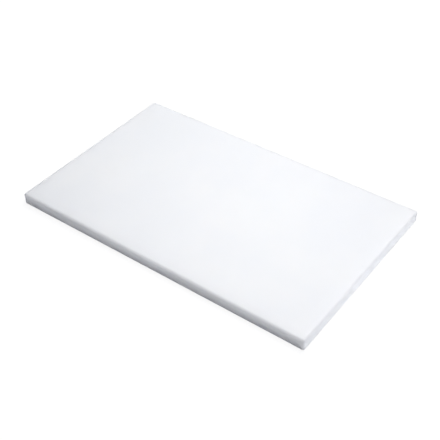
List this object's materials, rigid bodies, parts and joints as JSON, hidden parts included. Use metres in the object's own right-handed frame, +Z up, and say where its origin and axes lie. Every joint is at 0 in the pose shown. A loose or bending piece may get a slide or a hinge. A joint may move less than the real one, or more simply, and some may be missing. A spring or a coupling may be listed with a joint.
{
  "type": "cutting board",
  "caption": "Plain rectangular white plastic cutting board: a solid slab with flat faces, a square rim, small round-overs and rounded corners.",
  "frame": {"origin": "middle of the underside, on the surface that the board lies on", "axes": "+X along the long side, +Y along the short side, +Z up out of the working face"},
  "size_m": [0.53, 0.325, 0.02],
  "materials": {
    "white_polyethylene": "satin, slightly translucent high-density polyethylene with a fine even grain on the broad faces and a planed rim"
  },
  "bodies": {
    "root": {"board": "white_polyethylene"}
  },
  "joints": []
}
